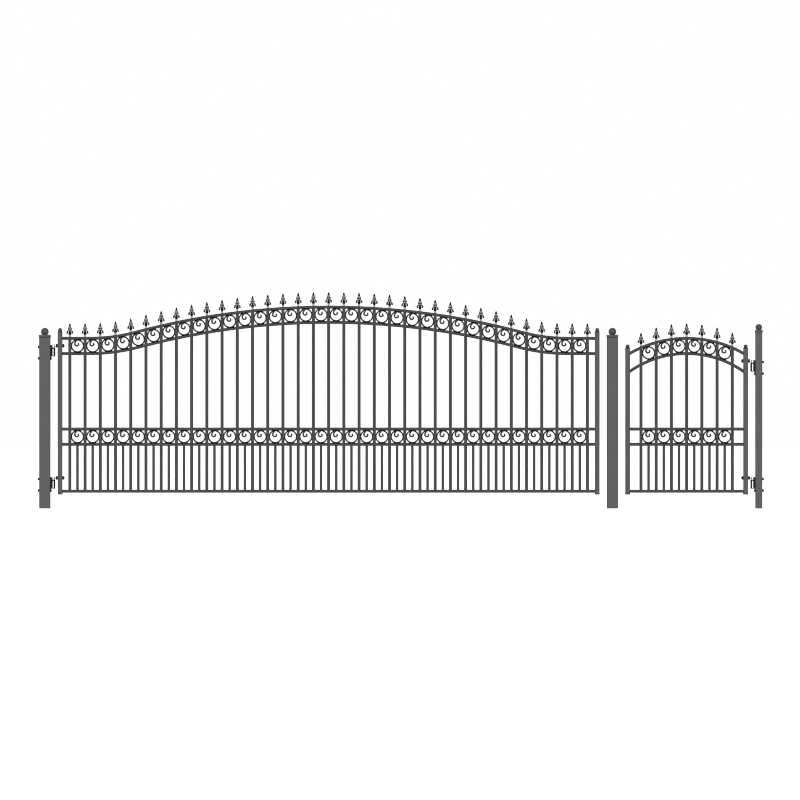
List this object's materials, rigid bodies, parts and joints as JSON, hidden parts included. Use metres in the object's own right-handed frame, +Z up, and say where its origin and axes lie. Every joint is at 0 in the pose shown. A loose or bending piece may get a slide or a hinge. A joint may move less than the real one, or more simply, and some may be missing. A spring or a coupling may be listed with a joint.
{
  "type": "driveway gate with side gate",
  "caption": "Ornamental steel driveway gate: a bell-topped swing leaf with scrolled rings and spear heads, and a matching arched side leaf, hung on square posts with ball caps.",
  "frame": {"origin": "centre of the hinge post's foot, on the ground", "axes": "+X along the gate from the hinge post to the side post, +Y away from the viewer through the gate, +Z up"},
  "size_m": [6.535, 0.108, 1.947],
  "materials": {
    "post_paint": "satin dark grey powder coat",
    "leaf_paint": "satin dark grey powder coat",
    "ring_paint": "satin near-black powder coat",
    "spear_paint": "satin black paint on cast iron",
    "bracket_paint": "satin near-black powder coat",
    "hinge_steel": "zinc plated, slightly dull",
    "foot_plastic": "matte black"
  },
  "bodies": {
    "posts": {"hinge_post": "post_paint", "latch_post": "post_paint", "side_post": "post_paint", "post_caps": "post_paint", "hinge_brackets": "bracket_paint", "hinge_bolts": "bracket_paint"},
    "drive_leaf": {"drive_bell_rail_lower": "leaf_paint", "drive_bell_rail_upper": "leaf_paint", "drive_bottom_rail": "leaf_paint", "drive_hinge_pins": "hinge_steel", "drive_hinge_stile": "leaf_paint", "drive_latch_stile": "leaf_paint", "drive_mid_rail_lower": "leaf_paint", "drive_mid_rail_upper": "leaf_paint", "drive_mid_rings": "ring_paint", "drive_pickets": "leaf_paint", "drive_short_pickets": "leaf_paint", "drive_spears": "spear_paint", "drive_stile_finials": "leaf_paint", "drive_stile_plugs": "foot_plastic", "drive_top_rings": "ring_paint"},
    "side_leaf": {"side_arch_rail_lower": "leaf_paint", "side_arch_rail_upper": "leaf_paint", "side_bottom_rail": "leaf_paint", "side_hinge_pins": "hinge_steel", "side_hinge_stile": "leaf_paint", "side_latch_stile": "leaf_paint", "side_mid_rail_lower": "leaf_paint", "side_mid_rail_upper": "leaf_paint", "side_mid_rings": "ring_paint", "side_pickets": "leaf_paint", "side_short_pickets": "leaf_paint", "side_spears": "spear_paint", "side_stile_finials": "leaf_paint", "side_stile_plugs": "foot_plastic", "side_top_rings": "ring_paint"}
  },
  "joints": [
    {"name": "drive_leaf_hinge", "type": "hinge", "parent": "posts", "child": "drive_leaf", "pos_m": [0.075, 0, 0.869], "axis": [0, 0, 1], "range_deg": [-90, 90]},
    {"name": "side_leaf_hinge", "type": "hinge", "parent": "posts", "child": "side_leaf", "pos_m": [6.369, 0, 0.801], "axis": [0, 0, -1], "range_deg": [-90, 90]}
  ]
}
